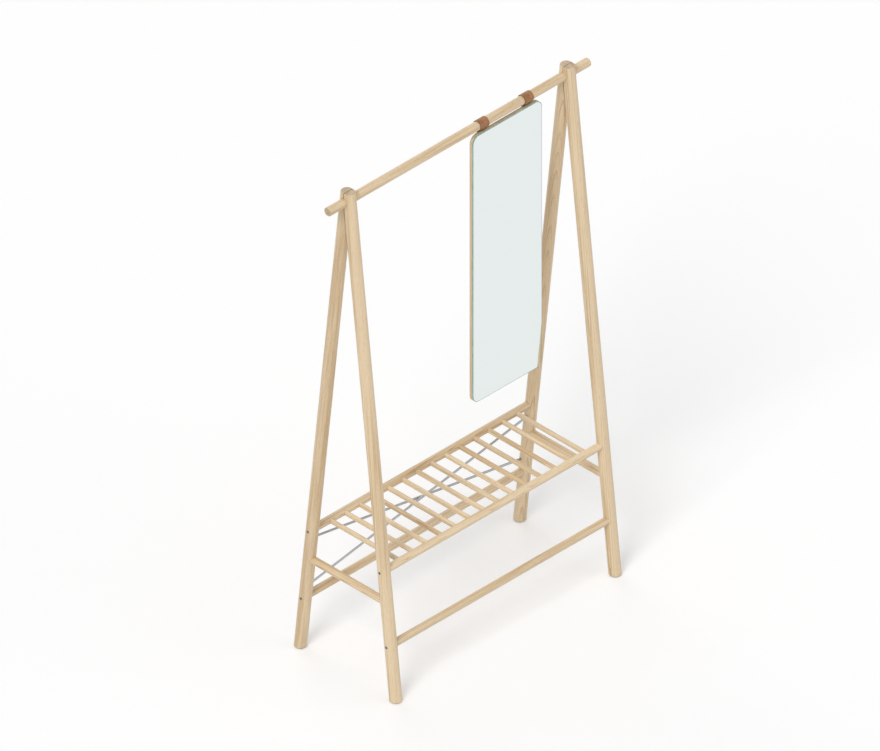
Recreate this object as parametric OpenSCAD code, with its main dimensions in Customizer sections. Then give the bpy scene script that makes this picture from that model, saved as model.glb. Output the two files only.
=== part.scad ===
// Coat stand with a hanging mirror and a slatted shoe shelf.
// X runs along the hanging rail, -Y is the front, Z is up.
// The origin is on the floor, in the middle between the four feet.

/* [Overall] */
// Length of the hanging rail, which is the width of the stand
stand_w = 1130; // [1000:10:1400]
// Depth over the front and rear feet
stand_d = 455; // [400:5:560]
// Height from the floor to the tops of the legs
stand_h = 1810; // [1600:10:2000]
// Length of each free end of the hanging rail, outside the legs
rail_overhang = 69; // [40:1:120]

/* [Legs] */
// Diameter of a leg
leg_d = 41; // [38:1:46]
// Distance from the joint plane of a pair to a leg's axis, at the top
leg_top_out = 4.5; // [3:0.5:8]
// Chamfer on the cut ends of the legs
leg_ease = 1.2; // [0.5:0.1:2]
// Width and depth of the eased edge along the joint between the legs of a pair
seam_ease = 0.8; // [0.4:0.1:1.5]
// Thickness of a foot pad
pad_t = 2.5; // [1.5:0.5:5]
// Diameter of a foot pad
pad_d = 36; // [28:1:37]

/* [Hanging rail] */
// Diameter of the hanging rail
rail_d = 30; // [26:1:32]
// Distance from the tops of the legs down to the rail's axis
rail_drop = 34; // [26:1:50]
// Chamfer on the ends of the hanging rail
rail_ease = 1.5; // [0.5:0.1:3]

/* [Lower frame] */
// Diameter of the long rails and side stretchers
rung_d = 26; // [22:1:28]
// Height of the axis of the lower front and rear rails
lower_z = 198; // [120:1:230]
// Height of the axis of the side stretchers
side_z = 350; // [300:1:380]
// Height of the axis of the shelf rails and slats
shelf_z = 463; // [430:1:600]
// Depth of the socket in a leg for the end of a rail or stretcher
socket_deep = 6; // [5.5:0.5:8]
// Diameter of the tenon on a side stretcher
tenon_d = 16; // [12:1:18]
// Length of the tenon beyond its shoulder
tenon_len = 12; // [8:1:14]

/* [Shelf slats] */
// Number of slats
slat_count = 14; // [8:1:16]
// Diameter of a slat
slat_d = 16; // [12:1:18]
// Distance from the legs to the axis of the first slat
slat_end = 52; // [30:1:70]
// Depth of a slat's blind hole in a shelf rail
slat_deep = 12; // [8:1:14]

/* [Brace] */
// Diameter of a brace rod
rod_d = 8; // [6:0.5:9]
// Distance from the shelf rail's underside down to a rod's high end
rod_high_gap = 28; // [10:1:60]
// Distance from the lower rail's top up to a rod's low end
rod_low_gap = 36; // [10:1:60]
// Depth of a rod's blind hole in a leg
rod_deep = 18; // [10:1:22]

/* [Mirror] */
// Width of the mirror
mirror_w = 300; // [240:5:400]
// Height of the mirror
mirror_h = 1000; // [800:10:1100]
// Corner radius of the mirror
mirror_corner = 28; // [10:1:60]
// Distance from the mirror's edge to the right legs
mirror_side_gap = 106.5; // [40:0.5:200]
// Gap between the hanging rail and the mirror
mirror_drop = 6.5; // [5.5:0.5:16]
// Thickness of the glass
glass_t = 4; // [3:0.5:6]
// Thickness of the tape between glass and board
tape_t = 1; // [0.5:0.1:1.5]
// Width of a strip of tape
tape_w = 25; // [15:1:30]
// Thickness of the backing board
board_t = 10; // [9:0.5:12]

/* [Straps] */
// Width of a strap
strap_w = 37; // [25:1:45]
// Thickness of the strap leather
strap_t = 2.2; // [1.5:0.1:3]
// Distance from one strap to the other, middle to middle
strap_pitch = 193; // [120:1:230]
// Length of a strap's tail down the back of the mirror
tail_len = 78; // [60:1:120]

/* [Fasteners] */
// Diameter of the frame bolts
bolt_d = 6; // [5:0.5:8]
// Length of a frame bolt under its head
bolt_len = 45; // [42:1:48]
// Diameter of a frame bolt's head
bolt_head_d = 10; // [9:0.5:13]
// Height of a frame bolt's head
bolt_head_h = 6; // [4:0.5:7]
// Width across the flats of the hexagon socket
bolt_hex = 5; // [4:0.5:6]
// Outer diameter of a threaded insert
insert_d = 10; // [9:0.5:12]
// Length of a threaded insert
insert_len = 20; // [15:1:25]
// Diameter of the dowels between the legs of a pair
dowel_d = 8; // [6:0.5:10]
// Length of a dowel
dowel_len = 30; // [20:1:36]
// Shank diameter of the screws that lock the hanging rail
lock_d = 4; // [3:0.5:5]
// Length of a lock screw
lock_len = 32; // [25:1:38]
// Shank diameter of the strap screws
strap_screw_d = 3.5; // [3:0.5:4]
// Length of a strap screw under its head
strap_screw_len = 12; // [9:0.5:13]
// Distance between the two screws of a strap
strap_screw_pitch = 36; // [24:1:50]

/* [Hidden] */
$fn = 64;

// Clearances
wood_fit = 0.1;
drill_fit = 0.2;
head_fit = 0.3;
loop_fit = 0.3;
over = 1;

// Half sizes
leg_r = leg_d / 2;
pair_gap = stand_w - 2 * (rail_overhang + leg_d);
rail_r = rail_d / 2;
rung_r = rung_d / 2;

// The lean of a leg: its outer side reaches stand_d / 2 where it meets its pad
lean_run = stand_d / 2 - leg_top_out;
lean_rise = stand_h - pad_t;
lean = acos(leg_r / norm([lean_run, lean_rise])) - atan2(lean_rise, lean_run);
leg_x = pair_gap / 2 + leg_r;
function leg_y(z) = leg_top_out + (stand_h - z) * tan(lean);
leg_slope_len = lean_rise / cos(lean);
// A short cone that holds the whole leg and cuts only the chamfer at its end
ease_band = 4 * leg_ease;

// Hanging rail
rail_z = stand_h - rail_drop;

// Long rails: the flat end stands on the floor of a socket in the leg
rail_end_x = leg_x - leg_r + socket_deep;
rung_len = 2 * rail_end_x;
shelf_y = leg_y(shelf_z);
lower_y = leg_y(lower_z);

// Side stretchers, between the socket floors of the two legs of a pair
side_half = leg_y(side_z) - leg_r / cos(lean) + socket_deep;

// Slats
slat_half = shelf_y - rung_r + slat_deep;
slat_pitch = (pair_gap - 2 * slat_end) / (slat_count - 1);
function slat_x(i) = (i - (slat_count - 1) / 2) * slat_pitch;
function slat_name(i) = str("shelf_slat_", i < 9 ? "0" : "", i + 1);

// Brace rods: both lie in planes parallel to the two rear legs, one on each side
rod_off = (rod_d + loop_fit) / 2;
rod_high_z = shelf_z - rung_r - rod_high_gap;
rod_low_z = lower_z + rung_r + rod_low_gap;
rod_mid_z = (rod_high_z + rod_low_z) / 2;
rod_rise = (rod_high_z - rod_low_z) / cos(lean);
rod_turn = atan2(rod_rise, pair_gap);
rod_len = norm([pair_gap, rod_rise]) + 2 * rod_deep;

// Mirror: it hangs in front of the plane under the rail's axis, where the straps' ends meet
mirror_x = pair_gap / 2 - mirror_side_gap - mirror_w / 2;
mirror_t = glass_t + tape_t + board_t;
mirror_top = rail_z - rail_r - mirror_drop;
mirror_bottom = mirror_top - mirror_h;
board_back = -strap_t;
board_front = board_back - board_t;
mirror_front = board_back - mirror_t;
tape_end = mirror_corner + tape_w;
tape_count = 4;
tape_pitch = (mirror_w - 2 * mirror_corner - tape_w) / (tape_count - 1);

// Straps: the leather runs round the rail, and both ends meet behind the mirror
loop_in = rail_r + loop_fit;
loop_out = loop_in + strap_t;
tail_in = loop_out + loop_fit;
tail_top = mirror_top + strap_t;
tail_bottom = mirror_top - tail_len;
// The line from the place where the two ends meet, at a tangent to the loop
meet_y = board_back + strap_t;
ply_r = loop_in + strap_t / 2;
meet_len = norm([meet_y, rail_z - tail_top]);
meet_turn = atan2(tail_top - rail_z, meet_y);
touch_turn = acos(ply_r / meet_len);
ply_len = sqrt(pow(meet_len, 2) - pow(ply_r, 2));

// Frame bolts
bolt_seat_x = leg_x + leg_r - bolt_head_h - bolt_head_h / 12;
bolt_hex_deep = bolt_head_h / 2;
bolt_reach = rail_end_x - bolt_seat_x + bolt_len;
insert_deep = insert_len + over;

// Pair dowels, between the crotch where the legs part and the underside of the rail
crotch_z = stand_h - (leg_r / cos(lean) - leg_top_out) / tan(lean);
dowel_shares = [0.32, 0.72];
function dowel_z(share) = crotch_z + share * (rail_z - rail_r - crotch_z);

// Lock screws, from the rear through the rear leg into the rail
lock_head_d = 2 * lock_d;
lock_y = leg_y(rail_z) + leg_r / cos(lean) - lock_d / 8;

// Strap screws
screw_head_d = 2 * strap_screw_d;
screw_head_h = strap_screw_d / 2;
washer_d = 3 * strap_screw_d;
washer_t = strap_screw_d / 4;
tail_back = board_back + 2 * strap_t;
screw_z = tail_bottom + (tail_len - strap_screw_pitch) / 2;

wood = "#dcc19a";
wood_end = "#d2b48a";
steel = "#b9bcbe";
brass = "#c7a55a";
leather = "#b98150";
felt = "#8d8a84";
glass = "#cfe0e4";

slat_names = [for (i = [0 : slat_count - 1]) slat_name(i)];

// A cylinder of length len along +X from the origin
module along_x(len, r) { rotate([0, 90, 0]) cylinder(h = len, r = r); }

// A cylinder of length len along +Y from the origin
module along_y(len, r) { rotate([-90, 0, 0]) cylinder(h = len, r = r); }

// A cylinder along Z from low to high with a chamfer at both ends
module eased_post(low, high, r, ease) {
    translate([0, 0, low + ease]) cylinder(h = high - low - 2 * ease, r = r);
    translate([0, 0, low]) cylinder(h = ease, r1 = r - ease, r2 = r);
    translate([0, 0, high - ease]) cylinder(h = ease, r1 = r, r2 = r - ease);
}

// The space in which a leg is cut to its level, chamfered ends and its joint face
module leg_cut(side, face) {
    wide = 2 * leg_r + 2 * over;
    low = pad_t + ease_band;
    high = stand_h - ease_band;
    translate([side * leg_x - wide / 2, face > 0 ? 0 : -stand_d, low])
        cube([wide, stand_d, high - low]);
    half_space(face) {
        translate([side * leg_x, face * leg_top_out, high])
            cylinder(h = ease_band, r1 = leg_r - leg_ease + ease_band, r2 = leg_r - leg_ease);
        translate([side * leg_x, face * leg_y(pad_t), pad_t])
            cylinder(h = ease_band, r1 = leg_r - leg_ease, r2 = leg_r - leg_ease + ease_band);
    }
}

// Keeps only what lies on one side of the plane where a pair is joined
module half_space(face) {
    intersection() {
        union() { children(); }
        translate([-stand_w, face > 0 ? 0 : -stand_d, 0]) cube([2 * stand_w, stand_d, 2 * stand_h]);
    }
}

// A round bar along the leaning axis of a leg, longer than the leg at both ends
module leaning_bar(side, face, r) {
    translate([side * leg_x, face * leg_top_out, stand_h])
        rotate([face * lean, 0, 0])
        translate([0, 0, -leg_slope_len - leg_d])
        cylinder(h = leg_slope_len + 2 * leg_d, r = r);
}

// What is taken off the visible edges of a leg's joint face, down its sides and over its top
module seam_cut(side, face) {
    low = crotch_z - leg_d;
    difference() {
        translate([side * leg_x - leg_r - over, -seam_ease, low])
            cube([leg_d + 2 * over, 2 * seam_ease, stand_h + over - low]);
        intersection() {
            leaning_bar(side, face, leg_r - seam_ease);
            translate([side * leg_x - leg_r, -leg_d, low - over])
                cube([leg_d, 2 * leg_d, stand_h - seam_ease - low + over]);
        }
    }
}

// A leaning round leg, with its sockets and bolt holes; side -1 is left, face -1 is front
module leg(side, face) {
    difference() {
        intersection() {
            leaning_bar(side, face, leg_r);
            leg_cut(side, face);
        }
        seam_cut(side, face);
        translate([-stand_w / 2, 0, rail_z]) along_x(stand_w, rail_r + wood_fit);
        for (spot = [[shelf_y, shelf_z], [lower_y, lower_z]])
            translate([0, face * spot[0], spot[1]]) rail_joint(side);
        side_socket(side, face);
        if (face > 0) {
            rod_cut("a");
            rod_cut("b");
            lock_cut(side);
        }
        dowel_cut(side);
    }
}

// The socket for a long rail, with the hole and the recess for its bolt
module rail_joint(side) {
    mirror([side > 0 ? 0 : 1, 0, 0]) {
        translate([rail_end_x - leg_d, 0, 0]) along_x(leg_d, rung_r + wood_fit);
        translate([rail_end_x - over, 0, 0]) along_x(leg_d, bolt_d / 2 + drill_fit);
        translate([bolt_seat_x, 0, 0]) along_x(leg_r, bolt_head_d / 2 + head_fit);
    }
}

// The socket and mortise for a side stretcher
module side_socket(side, face) {
    mirror([0, face > 0 ? 0 : 1, 0])
        translate([side * leg_x, 0, side_z]) {
            along_y(side_half, rung_r + wood_fit);
            translate([0, side_half - over, 0])
                along_y(tenon_len + 2 * over, tenon_d / 2 + wood_fit);
        }
}

// A brace rod, or its hole when it is grown
module rod_body(which, grow) {
    turn = which == "a" ? 1 : -1;
    translate([0, leg_y(rod_mid_z), rod_mid_z])
        rotate([lean, 0, 0])
        translate([0, turn * rod_off, 0])
        rotate([0, turn * rod_turn, 0])
        translate([-rod_len / 2 - grow, 0, 0])
        along_x(rod_len + 2 * grow, rod_d / 2 + grow);
}
module rod_cut(which) { rod_body(which, drill_fit); }

// The hole and countersink for a lock screw
module lock_cut(side) {
    translate([side * leg_x, lock_y - lock_len, rail_z]) {
        along_y(lock_len + leg_r, lock_d / 2 + wood_fit);
        translate([0, lock_len - lock_d, 0]) rotate([-90, 0, 0])
            cylinder(h = lock_d, r1 = lock_d / 2 + wood_fit, r2 = lock_head_d / 2 + wood_fit);
        translate([0, lock_len, 0]) along_y(leg_r, lock_head_d / 2 + wood_fit);
    }
}

// The holes for the dowels that join a pair
module dowel_cut(side) {
    for (share = dowel_shares)
        translate([side * leg_x, -dowel_len / 2 - drill_fit, dowel_z(share)])
            along_y(dowel_len + 2 * drill_fit, dowel_d / 2 + wood_fit);
}

module leg_node(side, face) { color(wood) leg(side, face); }

module foot_pad(side, face) {
    color(felt) translate([side * leg_x, face * leg_y(pad_t), 0]) cylinder(h = pad_t, r = pad_d / 2);
}

module pair_dowels(side) {
    color(wood_end) for (share = dowel_shares)
        translate([side * leg_x, -dowel_len / 2, dowel_z(share)])
            along_y(dowel_len, dowel_d / 2);
}

// The hanging rail, with a pilot hole for each lock screw
module hanging_rail() {
    color(wood) difference() {
        translate([0, 0, rail_z]) rotate([0, 90, 0])
            eased_post(-stand_w / 2, stand_w / 2, rail_r, rail_ease);
        for (side = [-1, 1])
            translate([side * leg_x, lock_y - lock_len - drill_fit, rail_z])
                along_y(lock_len + leg_r, lock_d / 2 + wood_fit);
    }
}

module rail_lock_screws() {
    color(steel) for (side = [-1, 1])
        translate([side * leg_x, lock_y - lock_len, rail_z]) difference() {
            union() {
                along_y(lock_len - lock_d, lock_d / 2);
                translate([0, lock_len - lock_d, 0]) rotate([-90, 0, 0])
                    cylinder(h = lock_d, r1 = lock_d / 2, r2 = lock_head_d / 2);
            }
            translate([0, lock_len - lock_d / 2, 0]) cross_recess(lock_d, lock_d / 2);
        }
}

// A cross-shaped driver recess along +Y, a bit deeper than deep
module cross_recess(size, deep) {
    slot = size / 4;
    for (box = [[size, slot], [slot, size]])
        translate([-box[0] / 2, 0, -box[1] / 2]) cube([box[0], deep + over, box[1]]);
}

module side_stretcher(side) {
    color(wood) translate([side * leg_x, 0, side_z]) {
        translate([0, -side_half, 0]) along_y(2 * side_half, rung_r);
        translate([0, -side_half - tenon_len, 0]) along_y(2 * (side_half + tenon_len), tenon_d / 2);
    }
}

// A long rail with a hole for an insert, and for the tip of its bolt, in each end
module long_rail(y, z) {
    difference() {
        translate([-rung_len / 2, y, z]) along_x(rung_len, rung_r);
        for (side = [0, 1])
            mirror([side, 0, 0]) translate([rail_end_x, y, z]) {
                translate([-insert_deep, 0, 0]) along_x(insert_deep + over, insert_d / 2 + wood_fit);
                translate([-bolt_reach - drill_fit, 0, 0])
                    along_x(bolt_reach + drill_fit, bolt_d / 2 + drill_fit);
            }
    }
}

// A shelf rail: a long rail with the blind holes of the slats
module shelf_rail(face) {
    color(wood) difference() {
        long_rail(face * shelf_y, shelf_z);
        for (i = [0 : slat_count - 1])
            translate([slat_x(i), -slat_half - drill_fit, shelf_z])
                along_y(2 * (slat_half + drill_fit), slat_d / 2 + wood_fit);
    }
}

module lower_rail(face) { color(wood) long_rail(face * lower_y, lower_z); }

module shelf_slat(i) {
    color(wood) translate([slat_x(i), -slat_half, shelf_z]) along_y(2 * slat_half, slat_d / 2);
}

module brace_rod(which) { color(steel) rod_body(which, 0); }

// The four places on one side where a long rail meets a leg
rail_spots = [for (face = [-1, 1], spot = [[shelf_y, shelf_z], [lower_y, lower_z]])
    [face * spot[0], spot[1]]];

// A bolt with a hexagon socket, its head outwards
module frame_bolts(side) {
    color(steel) for (spot = rail_spots)
        mirror([side > 0 ? 0 : 1, 0, 0]) translate([bolt_seat_x, spot[0], spot[1]])
            difference() {
                union() {
                    translate([-bolt_len, 0, 0]) along_x(bolt_len, bolt_d / 2);
                    along_x(bolt_head_h, bolt_head_d / 2);
                }
                translate([bolt_head_h - bolt_hex_deep, 0, 0]) rotate([0, 90, 0])
                    cylinder(h = bolt_hex_deep + over, d = bolt_hex / cos(30), $fn = 6);
            }
}

// A threaded insert, as a plain sleeve without its threads
module rail_inserts(side) {
    color(brass) for (spot = rail_spots)
        mirror([side > 0 ? 0 : 1, 0, 0]) translate([rail_end_x - insert_len, spot[0], spot[1]])
            difference() {
                along_x(insert_len, insert_d / 2);
                translate([-over, 0, 0]) along_x(insert_len + 2 * over, bolt_d / 2 + wood_fit);
            }
}

// Places a strap part at the left or right strap
module at_strap(side) { translate([mirror_x + side * strap_pitch / 2, 0, 0]) children(); }

// Extrudes a profile drawn in Y and Z by the width of a strap
module strap_wide() {
    translate([-strap_w / 2, 0, 0]) rotate([90, 0, 90]) linear_extrude(height = strap_w) children();
}

// The part of a strap that lies round the hanging rail
module strap_loop(side) {
    color(leather) at_strap(side) translate([-strap_w / 2, 0, rail_z]) difference() {
        along_x(strap_w, loop_out);
        translate([-over, 0, 0]) along_x(strap_w + 2 * over, loop_in);
    }
}

// The two plies of a strap, from the loop to the lower end behind the mirror
module tail_profile() {
    difference() {
        union() {
            translate([board_back, tail_bottom]) square([2 * strap_t, tail_top - tail_bottom]);
            translate([meet_y, tail_top]) intersection() {
                for (turn = [-1, 1])
                    rotate(meet_turn + 180 - turn * (90 - touch_turn))
                        translate([0, -strap_t / 2]) square([ply_len, strap_t]);
                translate([-meet_len, -strap_t / 2]) square([2 * meet_len, meet_len]);
            }
        }
        translate([0, rail_z]) circle(r = tail_in);
    }
}

module strap_tail(side) {
    color(leather) at_strap(side) difference() {
        strap_wide() tail_profile();
        for (i = [0, 1])
            translate([0, board_back - over, screw_z + i * strap_screw_pitch])
                along_y(2 * strap_t + 2 * over, strap_screw_d / 2 + wood_fit);
    }
}

// Puts a copy at each of the four strap screws, on the back of the tails
module at_strap_screws() {
    for (side = [-1, 1], i = [0, 1])
        at_strap(side) translate([0, tail_back, screw_z + i * strap_screw_pitch]) children();
}

module strap_screws() {
    color(steel) at_strap_screws() translate([0, washer_t, 0]) difference() {
        union() {
            translate([0, -strap_screw_len, 0]) along_y(strap_screw_len, strap_screw_d / 2);
            rotate([-90, 0, 0]) cylinder(h = screw_head_h, r1 = screw_head_d / 2, r2 = screw_head_d / 3);
        }
        translate([0, screw_head_h / 2, 0]) cross_recess(screw_head_d / 3, screw_head_h);
    }
}

module strap_washers() {
    color(steel) at_strap_screws() difference() {
        along_y(washer_t, washer_d / 2);
        translate([0, -over, 0]) along_y(washer_t + 2 * over, strap_screw_d / 2 + wood_fit);
    }
}

// A slab with rounded corners in the outline of the mirror
module mirror_slab(front, thick) {
    r = mirror_corner;
    translate([mirror_x - mirror_w / 2, front + thick, mirror_bottom]) rotate([90, 0, 0])
        linear_extrude(height = thick) {
            translate([r, 0]) square([mirror_w - 2 * r, mirror_h]);
            translate([0, r]) square([mirror_w, mirror_h - 2 * r]);
            for (x = [r, mirror_w - r], z = [r, mirror_h - r]) translate([x, z]) circle(r = r);
        }
}

module mirror_glass() { color(glass) mirror_slab(mirror_front, glass_t); }

module mirror_tape() {
    color(felt) for (i = [0 : tape_count - 1])
        translate([mirror_x + (i - (tape_count - 1) / 2) * tape_pitch - tape_w / 2,
                   mirror_front + glass_t, mirror_bottom + tape_end])
            cube([tape_w, tape_t, mirror_h - 2 * tape_end]);
}

module mirror_board() {
    color(wood_end) difference() {
        mirror_slab(board_front, board_t);
        at_strap_screws()
            translate([0, washer_t - strap_screw_len - drill_fit, 0])
                along_y(strap_screw_len, strap_screw_d / 2 + wood_fit);
    }
}

leg_node(-1, -1);  // leg_front_left
leg_node(-1, 1);  // leg_rear_left
leg_node(1, -1);  // leg_front_right
leg_node(1, 1);  // leg_rear_right
foot_pad(-1, -1);  // foot_pad_front_left
foot_pad(-1, 1);  // foot_pad_rear_left
foot_pad(1, -1);  // foot_pad_front_right
foot_pad(1, 1);  // foot_pad_rear_right
pair_dowels(-1);  // pair_dowels_left
pair_dowels(1);  // pair_dowels_right
hanging_rail();
rail_lock_screws();
side_stretcher(-1);  // side_stretcher_left
side_stretcher(1);  // side_stretcher_right
shelf_rail(-1);  // shelf_front_rail
shelf_rail(1);  // shelf_rear_rail
lower_rail(-1);  // lower_front_rail
lower_rail(1);  // lower_rear_rail
for (i = [0 : slat_count - 1])
    shelf_slat(i);
brace_rod("a");  // brace_rod_a
brace_rod("b");  // brace_rod_b
frame_bolts(-1);  // frame_bolts_left
frame_bolts(1);  // frame_bolts_right
rail_inserts(-1);  // rail_inserts_left
rail_inserts(1);  // rail_inserts_right
strap_loop(-1);  // strap_loop_left
strap_loop(1);  // strap_loop_right
strap_tail(-1);  // strap_tail_left
strap_tail(1);  // strap_tail_right
strap_screws();
strap_washers();
mirror_glass();
mirror_tape();
mirror_board();
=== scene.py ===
# The looks of a coat stand with a hanging mirror: oiled ash, tan leather, silvered glass, plywood,
# zinc-plated steel and felt. All sizes are in metres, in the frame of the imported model:
# X runs along the hanging rail, -Y is the front, Z is up.
import math

import bmesh
import bpy
from mathutils import Matrix, Vector


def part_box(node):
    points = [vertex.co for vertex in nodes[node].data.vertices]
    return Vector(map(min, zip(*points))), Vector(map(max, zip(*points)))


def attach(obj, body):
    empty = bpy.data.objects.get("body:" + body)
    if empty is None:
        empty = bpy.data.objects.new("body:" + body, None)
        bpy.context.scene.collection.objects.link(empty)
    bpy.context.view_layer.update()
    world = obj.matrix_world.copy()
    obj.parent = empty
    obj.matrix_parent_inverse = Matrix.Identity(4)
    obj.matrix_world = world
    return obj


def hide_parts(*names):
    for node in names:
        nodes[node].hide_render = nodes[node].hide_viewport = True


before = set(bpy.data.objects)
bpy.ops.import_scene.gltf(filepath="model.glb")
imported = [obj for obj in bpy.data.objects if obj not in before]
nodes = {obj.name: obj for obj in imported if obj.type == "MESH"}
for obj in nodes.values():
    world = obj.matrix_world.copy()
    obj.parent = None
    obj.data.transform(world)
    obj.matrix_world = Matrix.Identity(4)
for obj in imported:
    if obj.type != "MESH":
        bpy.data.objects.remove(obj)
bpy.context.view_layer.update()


# What the looks take from the frame

def node_middle(name):
    """The middle of a CAD node's box."""
    low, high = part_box(name)
    return (low + high) / 2


rail_low, rail_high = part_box("hanging_rail")
rail_axis = Vector(((rail_low.y + rail_high.y) / 2, (rail_low.z + rail_high.z) / 2))
rail_r = (rail_high.z - rail_low.z) / 2
board_low, board_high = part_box("mirror_board")
tail_low, tail_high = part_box("strap_tail_left")
strap_w = tail_high.x - tail_low.x

# The rear legs lean as their two rails do: so far back for each metre down
shelf_rear, lower_rear = node_middle("shelf_rear_rail"), node_middle("lower_rear_rail")
leg_slope = (lower_rear.y - shelf_rear.y) / (shelf_rear.z - lower_rear.z)

# Linear colours of the finishes
ash_light = (0.780, 0.615, 0.405, 1)
ash_dark = (0.545, 0.365, 0.185, 1)
ash_rubbed = (0.860, 0.740, 0.560, 1)
# The dark of the shade painted into the hollows of the wood
ash_painted_shade = (0.400, 0.280, 0.160, 1)
# The dark of the joint line and the painted shade in the groove between two paired legs
ash_joint_line_and_shade = (0.160, 0.100, 0.060, 1)
birch_light = (0.730, 0.560, 0.370, 1)
birch_dark = (0.560, 0.385, 0.215, 1)
ply_glue = (0.300, 0.170, 0.080, 1)
tan_light = (0.420, 0.200, 0.078, 1)
tan_dark = (0.270, 0.112, 0.038, 1)
burnished = (0.085, 0.034, 0.014, 1)
silver = (0.800, 0.850, 0.840, 1)
glass_green = (0.200, 0.360, 0.310, 1)
glass_pale = (0.340, 0.522, 0.465, 1)
mirror_back = (0.230, 0.235, 0.240, 1)
zinc = (0.640, 0.655, 0.670, 1)
drawn_steel = (0.420, 0.430, 0.440, 1)
bolt_steel = (0.300, 0.305, 0.310, 1)
# The near-black of the shade painted into the hollows and sockets of metal parts
painted_shade_black = (0.030, 0.028, 0.026, 1)
brass = (0.640, 0.440, 0.150, 1)
felt_grey = (0.270, 0.255, 0.235, 1)
foam_white = (0.720, 0.720, 0.690, 1)
floor_pale = (0.800, 0.800, 0.800, 1)
white = (1, 1, 1, 1)

# How deep the finest marks are in each material
grain_deep = 0.00022
veneer_deep = 0.0001
leather_deep = 0.00012
metal_deep = 0.00003
turned_deep = 0.00004
foam_deep = 0.00006
felt_deep = 0.0003

# How widely edges look rounded, how far a hollow shades its sides, and how many rays feel for both
wood_ease = 0.0009
metal_ease = 0.0003
painted_shade_reach = 0.014
edge_samples = 6

# How near the plane where two legs meet their groove's dark line and painted shade begin, and where they are
# darkest
groove_faint = 0.0018
groove_full = 0.0008

# How far the year rings waver, and how far the pebbles of the leather are drawn out of line
year_waver = 0.012
pebble_swirl = 0.0009

# A noise hardly ever leaves this range, and has this mean
noise_low, noise_high = 0.3, 0.7
noise_mean = (0.5, 0.5, 0.5)


# Small tools for shader nodes

def feed(tree, sockets, values):
    """Gives sockets their values by name or number: each value is a constant or another node's socket."""
    for key, value in values.items():
        if isinstance(value, bpy.types.NodeSocket):
            tree.links.new(value, sockets[key])
        else:
            sockets[key].default_value = value


def node(tree, kind, values=None, **settings):
    """Adds a shader node with its values and settings."""
    made = tree.nodes.new(kind)
    for key, value in settings.items():
        setattr(made, key, value)
    feed(tree, made.inputs, values or {})
    return made


def maths(tree, operation, a, b=0.0, c=0.0):
    """The result of one Math node."""
    return node(tree, "ShaderNodeMath", {0: a, 1: b, 2: c}, operation=operation).outputs[0]


def product(tree, first, *others):
    """Several values multiplied."""
    for other in others:
        first = maths(tree, "MULTIPLY", first, other)
    return first


def total(tree, first, *others):
    """Several values added up."""
    for other in others:
        first = maths(tree, "ADD", first, other)
    return first


def plus(tree, base, *shares):
    """A base with shares of other values added; each share is a pair of a factor and a value."""
    for factor, value in shares:
        base = maths(tree, "MULTIPLY_ADD", value, factor, base)
    return base


def vector_maths(tree, operation, a, b=(0, 0, 0), output="Vector"):
    """What one Vector Math node gives."""
    return node(tree, "ShaderNodeVectorMath", {0: a, 1: b}, operation=operation).outputs[output]


def scaled(tree, colour, amount):
    """A colour made lighter or darker by an amount."""
    made = node(tree, "ShaderNodeVectorMath", {0: colour, "Scale": amount}, operation="SCALE")
    return made.outputs["Vector"]


def component(tree, vector, axis):
    """What a vector measures along one axis."""
    return node(tree, "ShaderNodeSeparateXYZ", {0: vector}).outputs[axis]


def away(tree, vector, axis):
    """How far a vector reaches along one axis, whichever way it points."""
    return maths(tree, "ABSOLUTE", component(tree, vector, axis))


def surface_point(tree):
    """Where a point of the surface lies, and which way it faces."""
    coords = node(tree, "ShaderNodeTexCoord").outputs
    return coords["Object"], coords["Normal"]


def in_turned_axes(tree, vector, turn, origin=(0, 0, 0)):
    """A place or a direction as it is told in turned axes with their own origin."""
    made = node(tree, "ShaderNodeMapping", {"Vector": vector, "Location": origin, "Rotation": turn},
                vector_type="TEXTURE")
    return made.outputs[0]


def spread(tree, value, low, high, out_low=0.0, out_high=1.0):
    """A smooth step of value from low to high, put out as out_low to out_high."""
    made = node(tree, "ShaderNodeMapRange",
                {"Value": value, "From Min": low, "From Max": high, "To Min": out_low, "To Max": out_high},
                interpolation_type="SMOOTHSTEP")
    return made.outputs["Result"]


def ranged(tree, value, out_low=0.0, out_high=1.0):
    """A noise stretched over its whole range, put out as out_low to out_high."""
    return spread(tree, value, noise_low, noise_high, out_low, out_high)


def all_ways(rate):
    """The same rate along all three axes."""
    return (rate, rate, rate)


def noise(tree, place, rates, detail=2.0, output="Fac"):
    """Noise that changes so many times a metre along each axis."""
    stretched = vector_maths(tree, "MULTIPLY", place, rates)
    made = node(tree, "ShaderNodeTexNoise", {"Vector": stretched, "Scale": 1.0, "Detail": detail})
    return made.outputs[output]


def blended(tree, amount, first, second):
    """Two colours mixed by amount."""
    return node(tree, "ShaderNodeMix", {0: amount, 6: first, 7: second}, data_type="RGBA").outputs[2]


def bumped(tree, height, distance, strength, normal=None):
    """The normal that a Bump node makes from a height."""
    values = {"Height": height, "Distance": distance, "Strength": strength}
    if normal:
        values["Normal"] = normal
    return node(tree, "ShaderNodeBump", values).outputs["Normal"]


def new_group(name, takes, gives):
    """An empty node group with its sockets, and its input and output nodes."""
    tree = bpy.data.node_groups.new(name, "ShaderNodeTree")
    for label, (kind, value) in takes.items():
        made = tree.interface.new_socket(name=label, in_out="INPUT", socket_type="NodeSocket" + kind)
        made.default_value = value
    for label, kind in gives.items():
        tree.interface.new_socket(name=label, in_out="OUTPUT", socket_type="NodeSocket" + kind)
    return tree, tree.nodes.new("NodeGroupInput").outputs, tree.nodes.new("NodeGroupOutput").inputs


def use_group(tree, group, **values):
    """Places a group in a material; an underscore in a value's name stands for a space."""
    made = node(tree, "ShaderNodeGroup", node_tree=group)
    feed(tree, made.inputs, {key.replace("_", " ").title(): value for key, value in values.items()})
    return made.outputs


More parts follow.
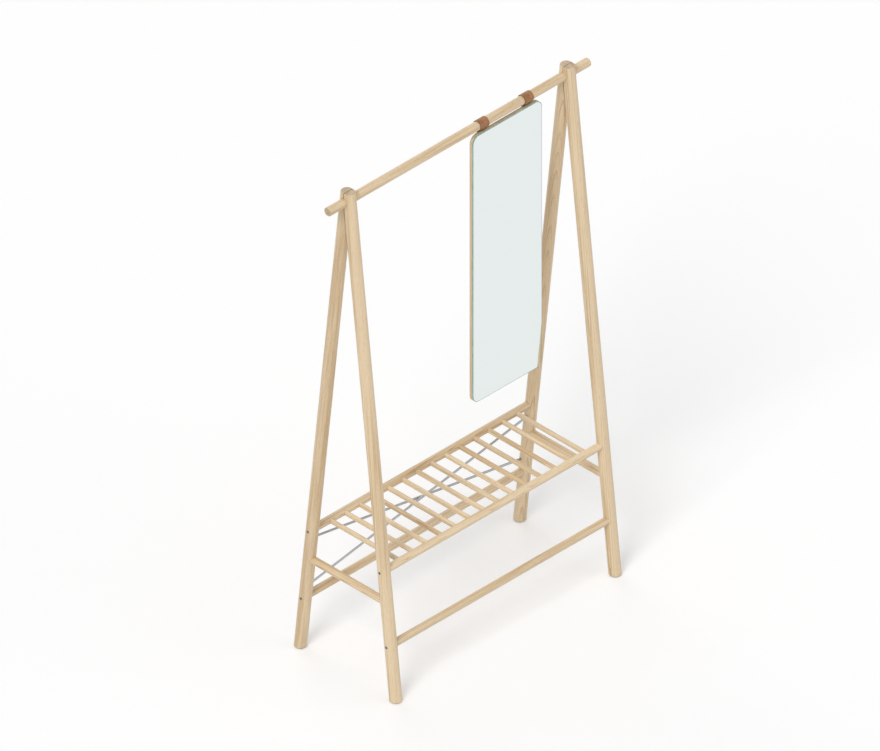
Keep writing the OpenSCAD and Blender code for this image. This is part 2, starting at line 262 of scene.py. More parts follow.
def new_material(name):
    """A material with a bare Principled shader: its tree and that shader's sockets."""
    made = bpy.data.materials.new(name)
    made.use_nodes = True
    tree = made.node_tree
    tree.nodes.clear()
    shader = tree.nodes.new("ShaderNodeBsdfPrincipled")
    surface = tree.nodes.new("ShaderNodeOutputMaterial")
    tree.links.new(shader.outputs["BSDF"], surface.inputs["Surface"])
    return made, tree, shader.inputs


# Effects that several finishes share

def make_grain_group():
    """Straight-grained wood, solid all through: years about a pith, vessels, fibres, tone and end grain."""
    tree, takes, gives = new_group("sawn_grain", {
        "Pith": ("Vector", (0, 0, 0)),
        "Log Turn": ("Vector", (0, 0, 0)),
        "Year Width": ("Float", 0.003),
        "Light Wood": ("Color", ash_light),
        "Dark Wood": ("Color", ash_dark),
        "Tone": ("Float", 0.0),
        "Figure": ("Float", 0.5),
        "Vessels": ("Float", 1.0),
    }, {"Color": "Color", "Roughness": "Float", "Height": "Float"})
    spot, normal = surface_point(tree)
    place = in_turned_axes(tree, spot, takes["Log Turn"], takes["Pith"])
    end = spread(tree, away(tree, in_turned_axes(tree, normal, takes["Log Turn"]), "X"), 0.55, 0.9)

    # The years are rings about the pith that waver along the log, some narrow and some wide
    waver = vector_maths(tree, "SUBTRACT", noise(tree, place, (1.3, 16, 16), 1.0, "Color"), noise_mean)
    shift = vector_maths(tree, "MULTIPLY", waver, (0, year_waver, year_waver))
    across = vector_maths(tree, "MULTIPLY", vector_maths(tree, "ADD", place, shift), (0, 1, 1))
    radius = vector_maths(tree, "LENGTH", across, output="Value")
    years = maths(tree, "DIVIDE", radius, takes["Year Width"])
    seasons = node(tree, "ShaderNodeTexNoise", {"W": years, "Scale": 0.33, "Detail": 1.0},
                   noise_dimensions="1D").outputs["Fac"]
    early = spread(tree, maths(tree, "FRACT", plus(tree, years, (1.1, seasons))), 0.0, 0.45, 1.0, 0.0)

    bands = noise(tree, place, (1.1, 34, 34), 2.0)
    streaks = noise(tree, place, (4, 170, 170), 3.0)
    fibres = noise(tree, place, (30, 1300, 1300), 4.0)
    specks = spread(tree, noise(tree, place, (75, 2400, 2400), 0.0), 0.56, 0.68)
    vessels = product(tree, specks, early, takes["Vessels"])

    figure = total(tree, product(tree, early, takes["Figure"]), ranged(tree, bands, -0.32, 0.46),
                   ranged(tree, streaks, -0.22, 0.34))
    shade = product(tree, plus(tree, 1.0, (-0.34, vessels)), ranged(tree, fibres, 0.94, 1.04),
                    plus(tree, 1.0, (-0.26, end)), total(tree, takes["Tone"], 1.0))
    colour = blended(tree, figure, takes["Light Wood"], takes["Dark Wood"])
    feed(tree, gives, {
        "Color": scaled(tree, colour, shade),
        "Roughness": plus(tree, spread(tree, streaks, 0.2, 0.8, 0.40, 0.50), (0.16, vessels), (0.16, end)),
        "Height": plus(tree, product(tree, fibres, 0.30), (-1.0, vessels), (-0.18, early)),
    })
    return tree


def make_edge_group():
    """Softened edges: their normal, the places that handling wears, and an occlusion mask of the
    hollows, where shade is painted.
    """
    tree, takes, gives = new_group("worn_edges_and_shade", {"Radius": ("Float", 0.0008)},
                                   {"Normal": "Vector", "Worn": "Float", "Painted Shade": "Float"})
    soft = node(tree, "ShaderNodeBevel", {"Radius": takes["Radius"]}, samples=edge_samples).outputs[0]
    true = node(tree, "ShaderNodeNewGeometry").outputs["Normal"]
    same = vector_maths(tree, "DOT_PRODUCT", soft, true, "Value")
    open_sky = node(tree, "ShaderNodeAmbientOcclusion", {"Distance": painted_shade_reach},
                    samples=edge_samples).outputs["AO"]
    feed(tree, gives, {
        "Normal": soft,
        "Worn": spread(tree, same, 0.99, 0.85),
        "Painted Shade": spread(tree, open_sky, 0.85, 0.35),
    })
    return tree


def make_metal_group():
    """Fine marks on bare metal: drawn lines along one axis, and cloudy patches."""
    tree, takes, gives = new_group("metal_marks", {
        "Line Rates": ("Vector", (900, 900, 900)),
        "Line Turn": ("Vector", (0, 0, 0)),
        "Base": ("Color", zinc),
        "Clouding": ("Float", 1.0),
    }, {"Color": "Color", "Roughness": "Float", "Height": "Float"})
    place = surface_point(tree)[0]
    lines = noise(tree, in_turned_axes(tree, place, takes["Line Turn"]), takes["Line Rates"], 2.0)
    patches = spread(tree, noise(tree, place, all_ways(160), 3.0), 0.35, 0.7)
    clouds = product(tree, patches, takes["Clouding"])
    dull = vector_maths(tree, "MULTIPLY", takes["Base"], (0.80, 0.81, 0.83))
    feed(tree, gives, {
        "Color": scaled(tree, blended(tree, clouds, takes["Base"], dull), ranged(tree, lines, 0.90, 1.04)),
        "Roughness": plus(tree, ranged(tree, lines, 0.24, 0.34), (0.12, clouds)),
        "Height": lines,
    })
    return tree


def make_fleece_group():
    """Matted fibres or fine cells: a tone and a height that change together."""
    tree, takes, gives = new_group("matted_fibres", {"Rate": ("Float", 900.0)},
                                   {"Tone": "Float", "Height": "Float"})
    place = surface_point(tree)[0]
    fuzz = node(tree, "ShaderNodeTexNoise", {"Vector": place, "Scale": takes["Rate"], "Detail": 5.0,
                                             "Roughness": 0.7, "Distortion": 1.4}).outputs["Fac"]
    tufts = noise(tree, place, all_ways(240), 2.0)
    feed(tree, gives, {
        "Tone": product(tree, ranged(tree, fuzz, 0.72, 1.12), ranged(tree, tufts, 0.90, 1.06)),
        "Height": fuzz,
    })
    return tree


sawn_grain = make_grain_group()
worn_edges_and_shade = make_edge_group()
metal_marks = make_metal_group()
matted_fibres = make_fleece_group()


# Finishes

def log_turn(along, lean=(0, 0)):
    """The turn of a log whose grain runs along a direction, but for a small lean."""
    turn = Vector(along).to_track_quat("X", "Z").to_matrix()
    return (turn @ Matrix.Rotation(lean[0], 3, "Y") @ Matrix.Rotation(lean[1], 3, "Z")).to_euler()


def wood_finish(name, along, pith, year=0.0030, tone=0.0, figure=0.5, lean=(0, 0), hooks=False,
                paired=False):
    """Oiled ash sawn with its grain along a direction; the pith lies off the piece, and the log leans a
    little. Where coat hangers hook over a piece, they leave fine rubbed lines across its top. Where a leg
    meets the other leg of its pair, the groove between them is dark: partly the joint's own dark line,
    partly painted shade. Hollows and the corners where parts meet get painted shade."""
    made, tree, shader = new_material(name)
    grain = use_group(tree, sawn_grain, pith=pith, log_turn=log_turn(along, lean), year_width=year,
                      tone=tone, figure=figure)
    edge = use_group(tree, worn_edges_and_shade, radius=wood_ease)
    worn = product(tree, edge["Worn"], 0.30)
    rough = plus(tree, grain["Roughness"], (-0.08, edge["Worn"]))
    height = grain["Height"]
    if hooks:
        place, normal = surface_point(tree)
        lines = spread(tree, noise(tree, place, (520, 3, 3), 2.0), 0.55, 0.68)
        patches = spread(tree, noise(tree, place, (14, 0.1, 0.1), 1.0), 0.35, 0.60)
        marks = product(tree, lines, patches, spread(tree, component(tree, normal, "Z"), 0.35, 0.85))
        worn = plus(tree, worn, (0.24, marks))
        rough = plus(tree, rough, (-0.12, marks))
        height = plus(tree, height, (-0.9, marks))
    surface = blended(tree, worn, grain["Color"], ash_rubbed)
    # Painted shade: hollows and the corners where parts meet are darkened by the occlusion mask
    surface = blended(tree, product(tree, edge["Painted Shade"], 0.30), surface, ash_painted_shade)
    # Partly the joint's own dark line, partly painted shade in the groove between the legs of a pair
    if paired:
        groove = spread(tree, away(tree, surface_point(tree)[0], "Y"), groove_faint, groove_full, 0.0, 0.75)
        surface = blended(tree, groove, surface, ash_joint_line_and_shade)
    feed(tree, shader, {
        "Base Color": surface,
        "Roughness": rough,
        "Normal": bumped(tree, height, grain_deep, 0.55, edge["Normal"]),
        "Coat Weight": 0.10,
        "Coat Roughness": 0.30,
    })
    return made


def leather_finish():
    """Tan leather: pebbled grain, cloudy tan, pores, creases round the rail and dark burnished edges."""
    made, tree, shader = new_material("tan_leather")
    place, normal = surface_point(tree)
    clouds = noise(tree, place, all_ways(55), 4.0)
    swirl = vector_maths(tree, "MULTIPLY", noise(tree, place, all_ways(600), 1.0, "Color"),
                         all_ways(pebble_swirl))
    cells = node(tree, "ShaderNodeTexVoronoi", {"Vector": vector_maths(tree, "ADD", place, swirl),
                                                "Scale": 950.0}, feature="DISTANCE_TO_EDGE")
    pebble = spread(tree, cells.outputs["Distance"], 0.0, 0.28)
    between = spread(tree, pebble, 0.0, 1.0, 1.0, 0.0)
    pores = spread(tree, noise(tree, place, all_ways(2600), 0.0), 0.62, 0.72)
    creases = spread(tree, noise(tree, place, (35, 900, 900), 2.0), 0.56, 0.70)
    rim = spread(tree, away(tree, normal, "X"), 0.45, 0.85)

    tan = blended(tree, spread(tree, clouds, 0.32, 0.70), tan_light, tan_dark)
    tan = blended(tree, product(tree, between, 0.45), tan, tan_dark)
    tan = blended(tree, product(tree, creases, 0.22), tan, tan_dark)
    height = plus(tree, pebble, (-0.5, pores), (-0.8, creases))
    flattened = product(tree, height, plus(tree, 1.0, (-0.85, rim)))
    feed(tree, shader, {
        "Base Color": blended(tree, rim, tan, burnished),
        "Roughness": plus(tree, ranged(tree, clouds, 0.40, 0.50), (0.12, pores), (-0.12, rim)),
        "Normal": bumped(tree, flattened, leather_deep, 0.7),
        "Specular IOR Level": 0.45,
    })
    return made


def silver_finish():
    """The silvered face of the mirror, with a faint haze of wiping marks."""
    made, tree, shader = new_material("silvered_glass")
    wipes = noise(tree, surface_point(tree)[0], (9, 9, 3), 3.0)
    feed(tree, shader, {
        "Base Color": silver,
        "Roughness": spread(tree, wipes, 0.45, 0.75, 0.012, 0.035),
        "Metallic": 1.0,
    })
    return made


def glass_edge_finish():
    """The ground and polished edge of the pane: the green of thick glass, a little uneven."""
    made, tree, shader = new_material("ground_glass_edge")
    depth = noise(tree, surface_point(tree)[0], (30, 700, 30), 2.0)
    feed(tree, shader, {
        "Base Color": blended(tree, ranged(tree, depth), glass_green, glass_pale),
        "Roughness": ranged(tree, depth, 0.08, 0.22),
        "Coat Weight": 0.6,
        "Coat Roughness": 0.05,
    })
    return made


def back_paint_finish():
    """The grey paint that protects the silvering on the back of the pane."""
    made, tree, shader = new_material("mirror_back_paint")
    fleck = use_group(tree, matted_fibres, rate=500.0)
    feed(tree, shader, {"Base Color": scaled(tree, mirror_back[:3], fleck["Tone"]), "Roughness": 0.55})
    return made


def plywood_finish(front, back, count):
    """Birch plywood: a plain veneer on both faces, and its plies with their glue lines along the edge."""
    made, tree, shader = new_material("birch_plywood")
    place, normal = surface_point(tree)
    upright = log_turn((0, 0, 1), (0.045, 0.02))
    grain = use_group(tree, sawn_grain, pith=(0.235, 0.075, 1.25), log_turn=upright, year_width=0.0075,
                      tone=0.03, figure=0.40, vessels=0.15, light_wood=birch_light, dark_wood=birch_dark)
    depth = maths(tree, "SUBTRACT", component(tree, place, "Y"), front)
    plies = product(tree, depth, count / (back - front))
    crosswise = maths(tree, "PINGPONG", maths(tree, "FLOOR", plies), 1.0)
    off_middle = maths(tree, "ABSOLUTE", maths(tree, "SUBTRACT", maths(tree, "FRACT", plies), 0.5))
    glue = spread(tree, off_middle, 0.40, 0.49)
    end_cut = vector_maths(tree, "DOT_PRODUCT", noise(tree, place, (1500, 400, 1500), 2.0, "Color"),
                           (0.4, 0.3, 0.3), "Value")
    cut_ply = blended(tree, spread(tree, end_cut, 0.35, 0.65), birch_light, birch_dark)
    edge = blended(tree, product(tree, crosswise, 0.65), grain["Color"], cut_ply)
    edge = blended(tree, product(tree, glue, 0.7), edge, ply_glue)
    on_face = spread(tree, away(tree, normal, "Y"), 0.5, 0.8)
    feed(tree, shader, {
        "Base Color": blended(tree, on_face, edge, grain["Color"]),
        "Roughness": grain["Roughness"],
        "Normal": bumped(tree, grain["Height"], veneer_deep, 0.5),
    })
    return made


def metal_finish(name, base, line_rates, depth, clouding=1.0, along=(1, 0, 0), painted_hollow_shade=0.15):
    """Bare metal with drawn or tumbled marks; along is the direction in which it was drawn, and
    painted_hollow_shade says how dark the shade painted into its hollows is."""
    made, tree, shader = new_material(name)
    marks = use_group(tree, metal_marks, line_rates=line_rates, line_turn=log_turn(along), base=base,
                      clouding=clouding)
    edge = use_group(tree, worn_edges_and_shade, radius=metal_ease)
    feed(tree, shader, {
        # Painted shade: the occlusion mask darkens the hollows towards near-black
        "Base Color": blended(tree, product(tree, edge["Painted Shade"], painted_hollow_shade), marks["Color"], painted_shade_black),
        "Roughness": plus(tree, marks["Roughness"], (-0.08, edge["Worn"])),
        "Normal": bumped(tree, marks["Height"], depth, 0.35, edge["Normal"]),
        "Metallic": 1.0,
    })
    return made


def felt_finish(name, colour, rate, depth):
    """Matted wool or closed-cell foam."""
    made, tree, shader = new_material(name)
    fleece = use_group(tree, matted_fibres, rate=rate)
    feed(tree, shader, {
        "Base Color": scaled(tree, colour[:3], fleece["Tone"]),
        "Roughness": 0.95,
        "Normal": bumped(tree, fleece["Height"], depth, 0.8),
        "Sheen Weight": 0.25,
        "Sheen Roughness": 0.5,
    })
    return made


# Finishes of the CAD nodes that keep their shape

def dress(name, finish):
    """Gives a CAD node its finish."""
    for held in nodes[name].material_slots:
        held.material = finish


def finish_legs():
    """Each leg has its own log, whose grain follows the lean of the leg."""
    # The name, front or rear, how far off the pith lies, and the width of the years, tone and figure
    legs = [("leg_front_left", -1, (0.052, -0.038), 0.0031, 0.02, 0.52),
            ("leg_rear_left", 1, (-0.046, 0.050), 0.0027, -0.03, 0.46),
            ("leg_front_right", -1, (-0.058, -0.030), 0.0034, -0.01, 0.56),
            ("leg_rear_right", 1, (0.040, 0.056), 0.0029, 0.03, 0.44)]
    for name, face, offset, year, tone, figure in legs:
        middle = node_middle(name)
        axis_y = face * (shelf_rear.y + leg_slope * (shelf_rear.z - middle.z))
        pith = (middle.x + offset[0], axis_y + offset[1], middle.z)
        dress(name, wood_finish("ash_" + name, (0, -face * leg_slope, 1), pith, year, tone, figure,
                                lean=(0.020 * face, -0.014), paired=True))


def finish_rails():
    """The five long rails, with their grain along X. Only the hanging rail is rubbed by hooks."""
    # The name, how far off the pith lies, the width of the years, tone and figure, and the tilt of the log
    rails = [("hanging_rail", (0.034, 0.052), 0.0030, 0.00, 0.50, 0.011),
             ("shelf_front_rail", (-0.050, 0.028), 0.0027, 0.02, 0.48, -0.015),
             ("shelf_rear_rail", (0.046, -0.040), 0.0033, -0.02, 0.52, 0.013),
             ("lower_front_rail", (0.030, 0.056), 0.0029, -0.04, 0.56, 0.016),
             ("lower_rear_rail", (-0.038, -0.050), 0.0031, 0.01, 0.46, -0.012)]
    for name, offset, year, tone, figure, tilt in rails:
        middle = node_middle(name)
        pith = (0, middle.y + offset[0], middle.z + offset[1])
        dress(name, wood_finish("ash_" + name, (1, 0, 0), pith, year, tone, figure, lean=(tilt, tilt * 0.6),
                                hooks=name == "hanging_rail"))


def finish_crossbars():
    """The stretchers and slats, each sawn from another place about the pith, and the hidden dowels."""
    slats = sorted(name for name in nodes if name.startswith("shelf_slat"))
    for i, name in enumerate(["side_stretcher_left", "side_stretcher_right"] + slats):
        middle = node_middle(name)
        angle = 2.4 * i
        off_pith = 0.034 + 0.022 * ((i * 7) % 5) / 4
        pith = (middle.x + off_pith * math.cos(angle), 0, middle.z + off_pith * math.sin(angle))
        year = 0.0024 + 0.0004 * ((i * 5) % 4)
        tone = 0.05 * math.sin(1.9 * i + 0.6)
        figure = 0.42 + 0.05 * ((i * 3) % 4)
        dress(name, wood_finish("ash_" + name, (0, 1, 0), pith, year, tone, figure,
                                lean=(0.02 * math.sin(i), 0.02 * math.cos(1.3 * i))))
    plain = wood_finish("ash_dowel", (0, 1, 0), (0.06, 0, 1.70), 0.0028)
    dress("pair_dowels_left", plain)
    dress("pair_dowels_right", plain)


def finish_metal_parts():
    """Bright zinc on the small screws, dull zinc on the bolts, drawn steel rods and brass inserts."""
    tumbled = all_ways(700)
    # The small screws and the bolts get strong painted shade in their recesses and hex sockets
    bright = metal_finish("zinc_plate", zinc, tumbled, metal_deep, painted_hollow_shade=0.85)
    for name in ("rail_lock_screws", "strap_screws", "strap_washers"):
        dress(name, bright)
    dull = metal_finish("dull_zinc_plate", bolt_steel, tumbled, metal_deep, painted_hollow_shade=0.85)
    turned = metal_finish("turned_brass", brass, (2200, 300, 300), turned_deep)
    for side in ("left", "right"):
        dress("frame_bolts_" + side, dull)
        dress("rail_inserts_" + side, turned)
    for name, climbs in (("brace_rod_a", -1), ("brace_rod_b", 1)):
        low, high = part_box(name)
        rise = climbs * (high.z - low.z)
        along = (high.x - low.x, -leg_slope * rise, rise)
        dress(name, metal_finish("steel_" + name, drawn_steel, (12, 1500, 1500), metal_deep, 0.2, along))


# The camera, at the isometric angle of the picture

image_w = 880
pixels_per_metre = 326.14
view_dir = Vector((1, 1, -1)).normalized()
view_right = Vector((1, -1, 0)).normalized()
view_up = view_right.cross(view_dir)
view_middle = Vector((0.2549, 0.3320, 0.5869))
camera_back = 8.0
camera_reach = 60.0


def make_camera():
    """A parallel camera that sees the stand where the picture shows it."""
    lens = bpy.data.cameras.new("camera")
    lens.type = "ORTHO"
    lens.ortho_scale = image_w / pixels_per_metre
    lens.clip_end = camera_reach
    camera = bpy.data.objects.new("camera", lens)
    bpy.context.scene.collection.objects.link(camera)
    turn = Matrix((view_right, view_up, -view_dir)).transposed().to_4x4()
    camera.matrix_world = Matrix.Translation(view_middle - camera_back * view_dir) @ turn
    bpy.context.scene.camera = camera


# The floor, the surround and the lamps

floor_half = 30.0
floor_glow = 0.22
surround_light = 0.50
# The name of each lamp, which way it shines, its strength and how many degrees wide it is
lamp_rows = [("key_light", (0.95, 0.35, -1.0), 1.50, 24),
             ("fill_light", (-0.6, 1.0, -0.45), 0.40, 50),
             ("back_light", (-0.3, -1.0, -0.55), 0.55, 50)]


def seen_rays(tree):
    """1 for rays from the camera, from gloss and through glass, and 0 for the rest."""
    path = node(tree, "ShaderNodeLightPath").outputs
    either = maths(tree, "MAXIMUM", path["Is Camera Ray"], path["Is Glossy Ray"])
    return maths(tree, "MAXIMUM", either, path["Is Transmission Ray"])


def make_floor():
    """The floor, which looks nearly white and yet takes the shadow."""
    mesh = bpy.data.meshes.new("floor")
    corners = [(-floor_half, -floor_half, 0), (floor_half, -floor_half, 0), (floor_half, floor_half, 0),
               (-floor_half, floor_half, 0)]
    mesh.from_pydata(corners, [], [(0, 1, 2, 3)])
    floor = bpy.data.objects.new("floor", mesh)
    bpy.context.scene.collection.objects.link(floor)
    made, tree, shader = new_material("pale_floor")
    feed(tree, shader, {
        "Base Color": floor_pale,
        "Roughness": 1.0,
        "Specular IOR Level": 0.0,
        "Emission Color": white,
        "Emission Strength": product(tree, seen_rays(tree), floor_glow),
    })
    mesh.materials.append(made)


def make_surround():
    """A surround that is white to the eye and in gloss, and gives a plain level of light."""
    world = bpy.data.worlds.new("surround")
    world.use_nodes = True
    tree = world.node_tree
    tree.nodes.clear()
    strength = plus(tree, surround_light, (1.0 - surround_light, seen_rays(tree)))
    surround = node(tree, "ShaderNodeBackground", {"Color": white, "Strength": strength})
    out = tree.nodes.new("ShaderNodeOutputWorld")
    tree.links.new(surround.outputs[0], out.inputs["Surface"])
    bpy.context.scene.world = world


def make_lamps():
    """The three soft lamps, of which the strongest shines from the upper left."""
    lamps = []
    for name, towards, strength, width_deg in lamp_rows:
        light = bpy.data.lights.new(name, "SUN")
        light.energy = strength
        light.angle = math.radians(width_deg)
        lamp = bpy.data.objects.new(name, light)
        lamp.rotation_mode = "QUATERNION"
        lamp.rotation_quaternion = Vector(towards).to_track_quat("-Z", "Y")
        bpy.context.scene.collection.objects.link(lamp)
        lamps.append(lamp)
    return lamps


def keep_lamps_off(piece, lamps):
    """Keeps the lamps out of one piece, so that it reflects the room alone."""
    unlit = bpy.data.collections.new("unlit_by_lamps")
    unlit.objects.link(piece)
    unlit.collection_objects[0].light_linking.link_state = "EXCLUDE"
    for lamp in lamps:
        lamp.light_linking.receiver_collection = unlit


# Shapes

def loft(rings):
    """Corners and faces of a skin over closed rings of points, with a flat cap at both ends."""
    count = len(rings[0])
    corners = [tuple(point) for ring in rings for point in ring]
    faces = []
    for i in range(len(rings) - 1):
        near, far = i * count, (i + 1) * count
        for j in range(count):
            k = (j + 1) % count
            faces.append([near + j, near + k, far + k, far + j])
    faces.append(list(range(count)))
    faces.append(list(range(len(corners) - count, len(corners))))
    return corners, faces


def new_piece(name, rings, sharp_deg, finish, body, replaced):
    """Lofts a mesh piece that rides on a body and stands for CAD nodes."""
    mesh = bpy.data.meshes.new(name)
    corners, faces = loft(rings)
    mesh.from_pydata(corners, [], faces)
    shape = bmesh.new()
    shape.from_mesh(mesh)
    bmesh.ops.recalc_face_normals(shape, faces=shape.faces)
    shape.to_mesh(mesh)
    shape.free()
    mesh.shade_smooth()
    mesh.set_sharp_from_angle(angle=math.radians(sharp_deg))
    mesh.materials.append(finish)
    piece = bpy.data.objects.new(name, mesh)
    bpy.context.scene.collection.objects.link(piece)
    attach(piece, body)
    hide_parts(*replaced)
    return piece


def slab_ring(low, high, inset, y, steps=14):
    """The rounded outline of the mirror in the plane at y, drawn in by inset."""
    r = mirror_corner - inset
    left, right = low.x + mirror_corner, high.x - mirror_corner
    bottom, top = low.z + mirror_corner, high.z - mirror_corner
    ring = []
    for quarter, (x, z) in enumerate([(right, top), (left, top), (left, bottom), (right, bottom)]):
        for i in range(steps + 1):
            angle = math.pi / 2 * (quarter + i / steps)
            ring.append(Vector((x + r * math.cos(angle), y, z + r * math.sin(angle))))
    return ring


# Mirror

mirror_corner = 0.028
arris = 0.0011
arris_deep = 0.7 * arris
back_arris = 0.4 * arris
board_ease = 0.0012
board_ease_steps = 4
ply_count = 7

# The silvered face stands this far proud of the pane, and its silver starts this far in from the edge
silver_deep = 0.0001
silver_in = 0.0024


def make_pane(edge_finish, back_finish):
    """The glass pane: a polished arris, ground edges and a painted back."""
    low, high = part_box("mirror_glass")
    steps = ((arris, low.y + silver_deep), (0.0, low.y + arris_deep), (0.0, high.y - back_arris),
             (back_arris, high.y))
    rings = [slab_ring(low, high, inset, y) for inset, y in steps]
    pane = new_piece("glass_pane", rings, 25, edge_finish, "mirror", ["mirror_glass"])
    pane.data.materials.append(back_finish)
    for face in pane.data.polygons:
        if face.normal.y > 0.9:
            face.material_index = 1


def make_silver(finish, rim_finish):
    """The silvered face, with a narrow rim of bare glass round it."""
    low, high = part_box("mirror_glass")
    steps = ((arris, low.y + silver_deep), (arris, low.y), (silver_in, low.y))
    rings = [slab_ring(low, high, inset, y) for inset, y in steps]
    silvered = new_piece("silver_face", rings, 25, finish, "mirror", ["mirror_glass"])
    silvered.data.materials.append(rim_finish)
    for face in silvered.data.polygons:
        if len(face.vertices) == 4:
            face.material_index = 1
    return silvered


def make_board(finish):
    """The backing board, with its edges eased by sanding."""
    low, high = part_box("mirror_board")
    angles = [math.pi / 2 * i / board_ease_steps for i in range(board_ease_steps + 1)]
    eased = [(board_ease * (1 - math.sin(a)), board_ease * (1 - math.cos(a))) for a in angles]
    rings = [slab_ring(low, high, inset, low.y + deep) for inset, deep in eased]
    rings += [slab_ring(low, high, inset, high.y - deep) for inset, deep in reversed(eased)]
    new_piece("backing_board", rings, 40, finish, "mirror", ["mirror_board"])


# Straps

strap_thick = 0.0022
strap_play = 0.0003
strap_round = 0.00085
strap_bend = 0.0050
tail_corner = 0.006
edge_lift = 0.00012

# The lines pressed along both edges: how far in they lie, half their width, and their depth
crease_in = 0.0032
crease_half = 0.0006
crease_deep = 0.00028

# How far apart points lie round the rail, in the bends and along the leather, and how many round off an end
wrap_step = 0.0007
bend_step = 0.0004
leather_step = 0.0014
tail_steps = 10


def heading(angle):
    """A step of length 1 in the YZ plane."""
    return Vector((math.cos(angle), math.sin(angle)))


def arc_points(middle, radius, start, end, step):
    """Points along an arc in the YZ plane, a step apart."""
    count = max(3, math.ceil(abs(end - start) * radius / step))
    return [middle + radius * heading(start + (end - start) * i / count) for i in range(count + 1)]


def bend_points(before, corner, after, radius):
    """Points along the bend that rounds off a corner of a line in the YZ plane."""
    into = (corner - before).normalized()
    out = (after - corner).normalized()
    half = into.angle(out) / 2
    side = 1 if into.x * out.y - into.y * out.x > 0 else -1
    start = corner - into * radius * math.tan(half)
    middle = start + side * radius * Vector((-into.y, into.x))
    first = math.atan2(start.y - middle.y, start.x - middle.x)
    return arc_points(middle, radius, first, first + side * 2 * half, bend_step)


def strap_route(lowest):
    """The middle line of a strap in the YZ plane: up behind the mirror, round the rail and down again.
    Its two plies meet just over the board."""
    wrap_r = rail_r + strap_play + strap_thick / 2
    meet = Vector((board_high.y + strap_thick, board_high.z + strap_thick))
    reach = meet - rail_axis
    aim = math.atan2(reach.y, reach.x)
    open_by = math.acos(wrap_r / reach.length)
    front_touch = aim - open_by
    rear_touch = aim + open_by
    front_at = rail_axis + wrap_r * heading(front_touch)
    rear_at = rail_axis + wrap_r * heading(rear_touch)
    front_y = board_high.y + strap_thick / 2
    rear_y = board_high.y + strap_thick * 3 / 2
    front_way = (front_at - meet).normalized()
    rear_way = (rear_at - meet).normalized()
    front_corner = meet + front_way * (front_y - meet.x) / front_way.x
    rear_corner = meet + rear_way * (rear_y - meet.x) / rear_way.x
    front_low = Vector((front_y, lowest))
    rear_low = Vector((rear_y, lowest))
    points = [front_low] + bend_points(front_low, front_corner, front_at, strap_bend)
    points += arc_points(rail_axis, wrap_r, front_touch + 2 * math.pi, rear_touch, wrap_step)
    return points + bend_points(rear_at, rear_corner, rear_low, strap_bend) + [rear_low]


def walk(points):
    """The length of a line of points, and a function that gives the place and direction at a length."""
    lengths = [0.0]
    for a, b in zip(points, points[1:]):
        lengths.append(lengths[-1] + (b - a).length)

    def at(length):
        i = 1
        while i < len(lengths) - 1 and lengths[i] < length:
            i += 1
        a, b = points[i - 1], points[i]
        share = (length - lengths[i - 1]) / (lengths[i] - lengths[i - 1])
        return a.lerp(b, share), (b - a).normalized()
    return lengths[-1], at


def quarter_turn(across, out, r, start_deg, steps):
    """Points of a quarter circle about a middle of the cross-section, from an angle on."""
    angles = [math.radians(start_deg + 90 * i / steps) for i in range(steps + 1)]
    return [(across + r * math.cos(a), out + r * math.sin(a)) for a in angles]


def strap_section(half_w, half_t, flat_steps=12, round_steps=4, crease_steps=8):
    """The cross-section of the leather, as (across, out) pairs: a strip with burnished round edges.
    A line is pressed into its outer face along both edges."""
    r = min(strap_round, half_t * 0.95)
    flat = half_w - r
    crease_at = half_w - crease_in
    inner = crease_at - crease_half
    crease = [(crease_at + crease_half * (1 - 2 * i / crease_steps),
               half_t - crease_deep * (1 - math.cos(2 * math.pi * i / crease_steps)) / 2)
              for i in range(crease_steps + 1)]
    section = [(-flat + 2 * flat * i / flat_steps, -half_t) for i in range(flat_steps + 1)]
    section += quarter_turn(flat, -half_t + r, r, -90, round_steps)[1:]
    section += quarter_turn(flat, half_t - r, r, 0, round_steps)[1:]
    section += crease + [(inner * (1 - 2 * i / flat_steps), half_t) for i in range(1, flat_steps)]
    section += [(-across, out) for across, out in reversed(crease)]
    section += quarter_turn(-flat, half_t - r, r, 90, round_steps)
    return section + quarter_turn(-flat, -half_t + r, r, 180, round_steps)[1:-1]


def strap_widths(length):
    """Places along the leather, closer together at its two cut ends, with half its width and half its
    thickness there. The ends have round corners, and their cut edge is rounded over."""
    ends = [tail_corner * (1 - math.cos(math.pi / 2 * i / tail_steps)) for i in range(tail_steps + 1)]
    middle = length - 2 * tail_corner
    count = round(middle / leather_step)
    places = ends + [tail_corner + middle * i / count for i in range(1, count)]
    places += [length - end for end in reversed(ends)]
    half_t = strap_thick / 2
    widths = []
    for place in places:
        near = min(place, length - place)
        drawn_in = tail_corner - math.sqrt(max(0, tail_corner ** 2 - max(0, tail_corner - near) ** 2))
        thin = math.sqrt(max(0.05, 1 - max(0, half_t - near) ** 2 / half_t ** 2))
        widths.append((place, strap_w / 2 - drawn_in, half_t * thin))
    return widths


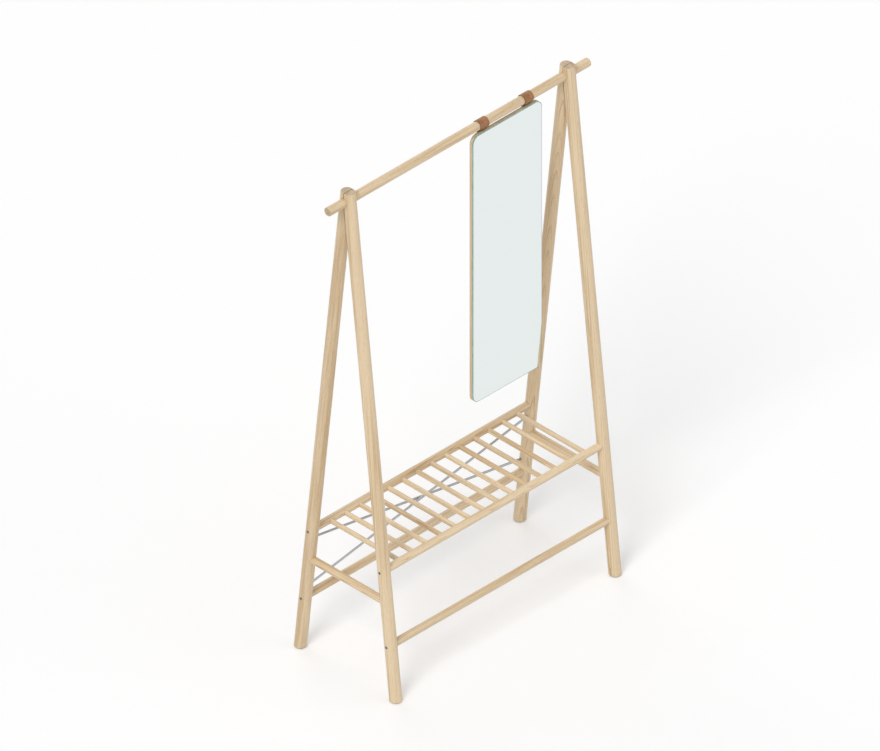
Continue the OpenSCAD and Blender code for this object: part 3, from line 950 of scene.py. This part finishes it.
def make_strap(side, finish):
    """One strap: a single strip of leather round the rail, with both ends behind the mirror."""
    low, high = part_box("strap_tail_" + side)
    middle_x = (low.x + high.x) / 2
    length, at = walk(strap_route(low.z))
    rings = []
    for place, half_w, half_t in strap_widths(length):
        spot, way = at(place)
        outward = Vector((-way.y, way.x))
        ring = []
        for across, out in strap_section(half_w, half_t):
            lifted = spot + outward * (out + edge_lift * (across / half_w) ** 6)
            ring.append(Vector((middle_x + across, lifted.x, lifted.y)))
        rings.append(ring)
    new_piece("strap_" + side, rings, 60, finish, "mirror",
              ["strap_loop_" + side, "strap_tail_" + side])


# Foot pads

pad_edge = 0.0009
pad_flat_in = 0.0030

# How far the rim ripples, how often round the pad, how fast that turns with height, and the points round it
pad_ripple = 0.0002
pad_ripples = 7
pad_ripple_climb = 4000
pad_steps = 72


def pad_ring(middle, radius, z):
    """A circle that ripples a little, as cut felt does."""
    ring = []
    for i in range(pad_steps):
        angle = 2 * math.pi * i / pad_steps
        r = radius - pad_ripple * (1 + math.sin(pad_ripples * angle + z * pad_ripple_climb))
        ring.append(Vector((middle.x + r * math.cos(angle), middle.y + r * math.sin(angle), z)))
    return ring


def make_pad(under, finish):
    """A felt pad, a little compressed, with a soft swelling rim."""
    node_name = "foot_pad_" + under
    low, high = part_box(node_name)
    middle = (low + high) / 2
    r = (high.x - low.x) / 2
    # How far the rim is drawn in, at each share of the height
    profile = [(pad_flat_in, 0.0), (pad_edge, 0.0), (pad_edge * 0.3, 0.12), (0.0, 0.35), (0.0, 0.62),
               (pad_edge * 0.4, 0.88), (pad_edge, 1.0), (pad_flat_in, 1.0)]
    rings = [pad_ring(middle, r - inset, low.z + (high.z - low.z) * share) for inset, share in profile]
    new_piece("felt_pad_" + under, rings, 80, finish, "frame", [node_name])


# The whole stand

make_camera()
make_floor()
make_surround()
studio_lamps = make_lamps()

finish_legs()
finish_rails()
finish_crossbars()
finish_metal_parts()
dress("mirror_tape", felt_finish("foam_tape", foam_white, 1800.0, foam_deep))

ground_edge = glass_edge_finish()
make_pane(ground_edge, back_paint_finish())
keep_lamps_off(make_silver(silver_finish(), ground_edge), studio_lamps)
make_board(plywood_finish(board_low.y, board_high.y, ply_count))

tan_leather = leather_finish()
make_strap("left", tan_leather)
make_strap("right", tan_leather)

wool = felt_finish("grey_felt", felt_grey, 1500.0, felt_deep)
for foot in ("front_left", "rear_left", "front_right", "rear_right"):
    make_pad(foot, wool)

bpy.context.scene.view_settings.view_transform = "Standard"
